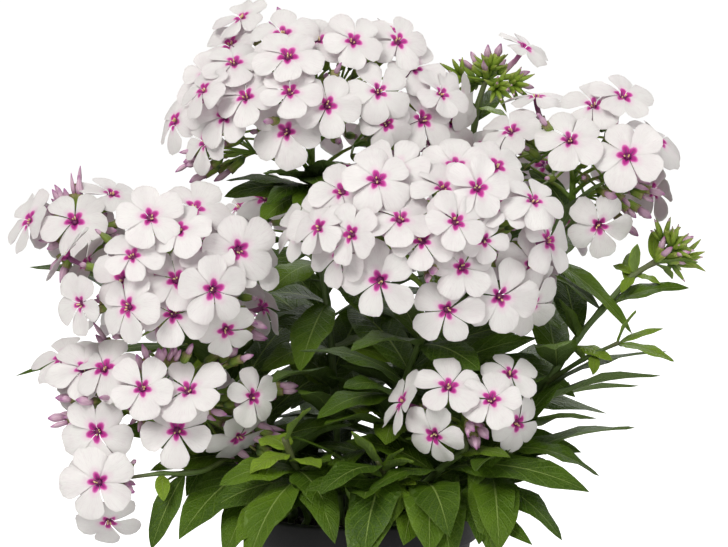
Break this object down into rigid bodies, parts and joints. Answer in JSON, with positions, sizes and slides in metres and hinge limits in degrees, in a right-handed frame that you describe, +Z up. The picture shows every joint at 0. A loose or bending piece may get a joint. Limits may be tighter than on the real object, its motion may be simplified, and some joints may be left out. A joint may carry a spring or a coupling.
{
  "type": "potted garden phlox",
  "caption": "Garden phlox in flower in a round nursery pot: domed heads of five-petalled white flowers with magenta eyes on leafy upright stems.",
  "frame": {"origin": "middle of the pot's flat underside, on the surface that the pot stands on", "axes": "+Z up along the pot's axis; -Y is the plant's front, the side that the picture shows; +X is to the right as seen from the front"},
  "size_m": [0.2786, 0.2053, 0.3027],
  "materials": {
    "pot": "satin",
    "soil": "matte",
    "foliage": "satin",
    "petals": "matte"
  },
  "bodies": {
    "root": {"pot": "pot", "soil": "soil", "stem_top": "foliage", "stem_middle": "foliage", "stem_right": "foliage", "stem_left": "foliage", "stem_far_left": "foliage", "stem_front": "foliage", "stem_buds_top": "foliage", "stem_buds_right": "foliage", "stem_back": "foliage", "stem_back_left": "foliage", "stem_back_right": "foliage", "shoot_front": "foliage", "shoot_front_right": "foliage", "shoot_front_left": "foliage", "shoot_back_left": "foliage", "shoot_back_right": "foliage", "head_top": "petals", "head_middle": "petals", "head_right": "petals", "head_left": "petals", "head_low_left": "petals", "head_far_left": "petals", "head_front": "petals", "head_back": "petals", "head_back_left": "petals", "head_back_right": "petals"}
  },
  "joints": []
}
